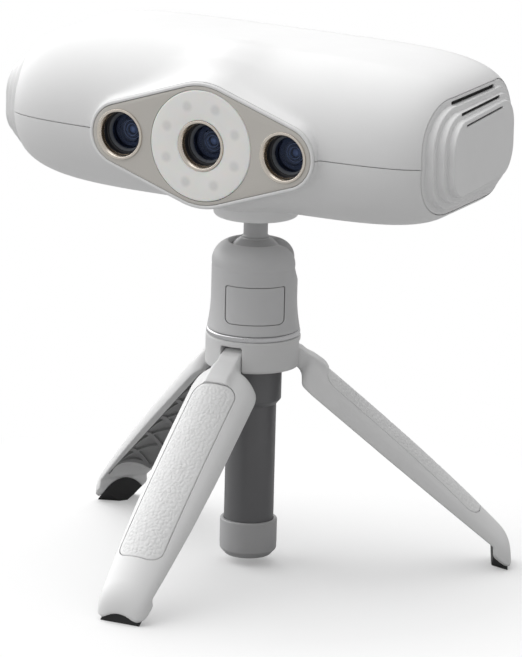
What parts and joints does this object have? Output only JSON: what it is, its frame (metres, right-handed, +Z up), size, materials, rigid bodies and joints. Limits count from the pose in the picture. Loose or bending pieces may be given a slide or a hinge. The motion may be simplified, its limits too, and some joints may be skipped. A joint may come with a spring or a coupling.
{
  "type": "handheld scanner",
  "caption": "Handheld structured-light scanner with a lens and ring-light nose, on a folding mini tripod grip with a ball head.",
  "frame": {"origin": "on the tripod's axis, on the floor plane that the foot pads stand on", "axes": "+Z up along the tripod's column, -Y the way the lenses look, +X along the case's width, to the right as the lenses face the viewer"},
  "size_m": [0.155, 0.1335, 0.1704],
  "materials": {
    "shell": "satin white moulded shell with a fine spark texture",
    "nose_plate": "satin warm grey paint",
    "diffuser": "milky translucent diffuser",
    "led": "warm white LED packages",
    "circuit_board": "green solder mask",
    "chrome": "polished, slightly warm",
    "black_plastic": "matte black",
    "lens_glass": "coated lens, blue-black",
    "aluminium": "machined",
    "steel": "plain steel",
    "brass": "turned",
    "stem_metal": "satin grey",
    "grip_plastic": "satin light grey",
    "leg_plastic": "satin white",
    "leg_grain": "white with a fine leather grain",
    "dark_plastic": "satin dark grey",
    "cap_plastic": "satin mid grey",
    "rubber": "soft rubber"
  },
  "bodies": {
    "grip": {"ball_seat": "dark_plastic", "seat_spring": "steel", "ball_housing": "grip_plastic", "button_spring": "steel", "trim_ring": "chrome", "leg_hub": "grip_plastic", "hinge_pins": "steel", "hub_screw": "steel", "column_collar": "dark_plastic", "column_tube": "dark_plastic", "column_cap": "cap_plastic"},
    "lock_button": {"lock_button": "grip_plastic"},
    "ball_stem": {"ball_stem": "stem_metal"},
    "scanner": {"top_shell": "shell", "bottom_shell": "shell", "nose_plate": "nose_plate", "ring_diffuser": "diffuser", "led_board": "circuit_board", "leds": "led", "left_lens_rim": "chrome", "centre_lens_rim": "chrome", "right_lens_rim": "chrome", "left_camera_barrel": "black_plastic", "projector_barrel": "black_plastic", "right_camera_barrel": "black_plastic", "left_lens": "lens_glass", "projector_lens": "lens_glass", "right_lens": "lens_glass", "left_sensor_board": "circuit_board", "projector_board": "circuit_board", "right_sensor_board": "circuit_board", "optical_bracket": "aluminium", "bracket_screws": "steel", "main_board": "circuit_board", "board_screws": "steel", "heat_sink": "aluminium", "rear_socket": "black_plastic", "left_end_cap": "shell", "right_end_cap": "shell", "case_screws": "steel", "tripod_insert": "brass"},
    "front_leg": {"front_leg_shell": "leg_plastic", "front_leg_inlay": "leg_grain", "front_leg_liner": "dark_plastic", "front_foot_pad": "rubber"},
    "right_leg": {"right_leg_shell": "leg_plastic", "right_leg_inlay": "leg_grain", "right_leg_liner": "dark_plastic", "right_foot_pad": "rubber"},
    "left_leg": {"left_leg_shell": "leg_plastic", "left_leg_inlay": "leg_grain", "left_leg_liner": "dark_plastic", "left_foot_pad": "rubber"}
  },
  "joints": [
    {"name": "front_leg_fold", "type": "hinge", "parent": "grip", "child": "front_leg", "pos_m": [0, -0.0113, 0.0693], "axis": [1, 0, 0], "range_deg": [0, 50]},
    {"name": "right_leg_fold", "type": "hinge", "parent": "grip", "child": "right_leg", "pos_m": [0.00979, 0.00565, 0.0693], "axis": [-0.5, 0.866, 0], "range_deg": [0, 50]},
    {"name": "left_leg_fold", "type": "hinge", "parent": "grip", "child": "left_leg", "pos_m": [-0.00979, 0.00565, 0.0693], "axis": [-0.5, -0.866, 0], "range_deg": [0, 50]},
    {"name": "ball_tilt", "type": "hinge", "parent": "grip", "child": "ball_stem", "pos_m": [0, 0, 0.098], "axis": [-0.5, 0.866, 0], "range_deg": [-20, 55]},
    {"name": "scanner_spin", "type": "hinge", "parent": "ball_stem", "child": "scanner", "pos_m": [0, 0, 0.1136], "axis": [0, 0, 1], "continuous": true},
    {"name": "lock_press", "type": "slide", "parent": "grip", "child": "lock_button", "axis": [-0.5, 0.866, 0], "range_m": [0, 0.0008], "stiffness_N_per_m": 800}
  ]
}
